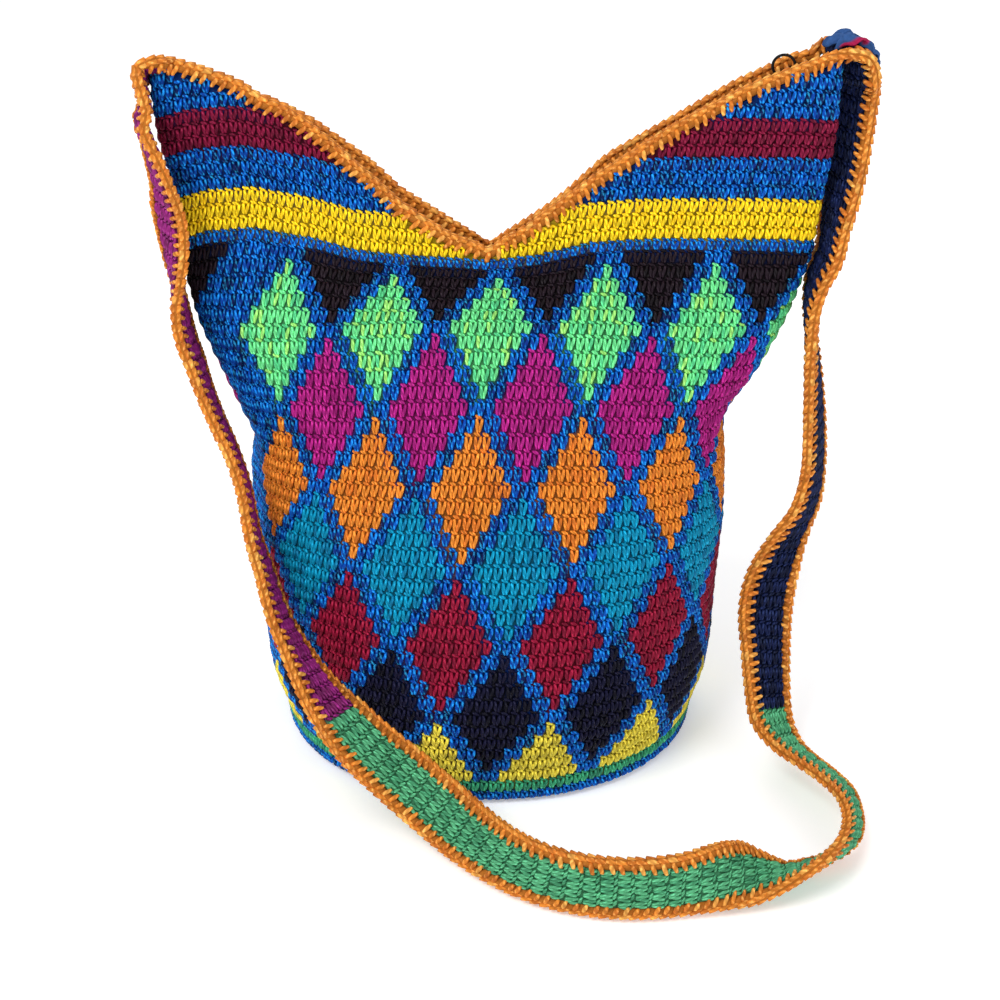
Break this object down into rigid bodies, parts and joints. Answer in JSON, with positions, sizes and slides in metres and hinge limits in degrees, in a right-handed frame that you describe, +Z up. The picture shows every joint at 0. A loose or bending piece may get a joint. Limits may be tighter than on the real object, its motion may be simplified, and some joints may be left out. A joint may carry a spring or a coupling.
{
  "type": "crochet purse",
  "caption": "Crocheted bucket purse with a round base, diamond pattern, high side peaks, V-shaped mouth and one long strap that lies in a loop in front.",
  "frame": {"origin": "middle of the underside of the round base", "axes": "+Z up, +X to the right peak as seen from the front, -Y towards the front, where the strap lies"},
  "size_m": [0.3545, 0.2944, 0.3692],
  "materials": {
    "blue_yarn": "mottled blue crochet cotton with coloured diamonds and stripes",
    "strap_yarn": "crocheted blocks of magenta, green and navy",
    "orange_yarn": "orange crocheted border",
    "black_cord": "smooth black cord",
    "blue_cloth": "faded blue woven cloth"
  },
  "bodies": {
    "root": {"bag_body": "blue_yarn", "strap": "strap_yarn", "front_edging": "orange_yarn", "back_edging": "orange_yarn", "black_loop": "black_cord", "blue_cloth": "blue_cloth"}
  },
  "joints": []
}
